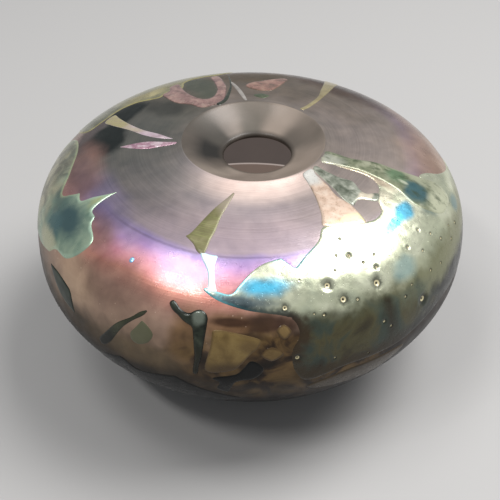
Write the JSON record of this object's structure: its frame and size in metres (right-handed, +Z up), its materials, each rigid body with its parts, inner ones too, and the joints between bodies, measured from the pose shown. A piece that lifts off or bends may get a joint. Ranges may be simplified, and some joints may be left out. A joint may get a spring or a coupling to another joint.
{
  "type": "art glass bowl",
  "caption": "Flattened round blown-glass bowl with a small funnel mouth and a ground foot, inlaid with lustred coloured glass straps, leaves and trails.",
  "frame": {"origin": "middle of the ground foot's underside, on the axis of the vessel", "axes": "+Z up out of the mouth, -Y towards the front of the decoration"},
  "size_m": [0.13, 0.1296, 0.073],
  "materials": {
    "amethyst_glass": "smoky amethyst glass, gloss, faint iridescence on the shoulder",
    "silver_lustre": "silver-green metallic lustre glass with small bubbles",
    "salmon_lustre": "salmon metallic lustre glass",
    "grey_veil": "thin silver-grey veil glass, satin",
    "green_lustre": "green metallic lustre glass",
    "olive_glass": "olive glass, satin",
    "sea_green_lustre": "pale sea-green lustre glass with a teal middle",
    "dark_green_glass": "dark green glass, gloss",
    "steel_green_glass": "dark steel-green metallic glass, gloss",
    "blue_glass": "bright blue glass, gloss",
    "amber_glass": "transparent amber glass, gloss",
    "slate_glass": "dark slate glass, gloss",
    "pink_lustre": "pink metallic lustre glass",
    "gold_lustre": "pale gold metallic lustre glass"
  },
  "bodies": {
    "root": {"silver_patch": "silver_lustre", "silver_tail": "silver_lustre", "salmon_strap": "salmon_lustre", "veil_strap": "grey_veil", "green_strap": "green_lustre", "olive_strap": "olive_glass", "left_patch": "sea_green_lustre", "left_leaf": "dark_green_glass", "olive_stroke": "dark_green_glass", "round_leaf": "olive_glass", "dark_drop": "steel_green_glass", "blue_dot": "blue_glass", "amber_patch": "amber_glass", "amber_fleck_upper": "amber_glass", "amber_fleck_lower": "amber_glass", "amber_band": "amber_glass", "base_trail_left": "slate_glass", "base_trail_front": "slate_glass", "pink_streak_long": "pink_lustre", "pink_streak_short": "pink_lustre", "gold_edge_patch": "gold_lustre", "pink_patch": "pink_lustre", "back_sliver": "silver_lustre", "back_fleck_pink": "pink_lustre", "back_fleck_green": "green_lustre", "gold_strap_back": "gold_lustre", "back_patch": "silver_lustre", "back_leaf": "dark_green_glass", "back_drop": "steel_green_glass", "base_trail_back": "slate_glass", "vessel_body": "amethyst_glass"}
  },
  "joints": []
}
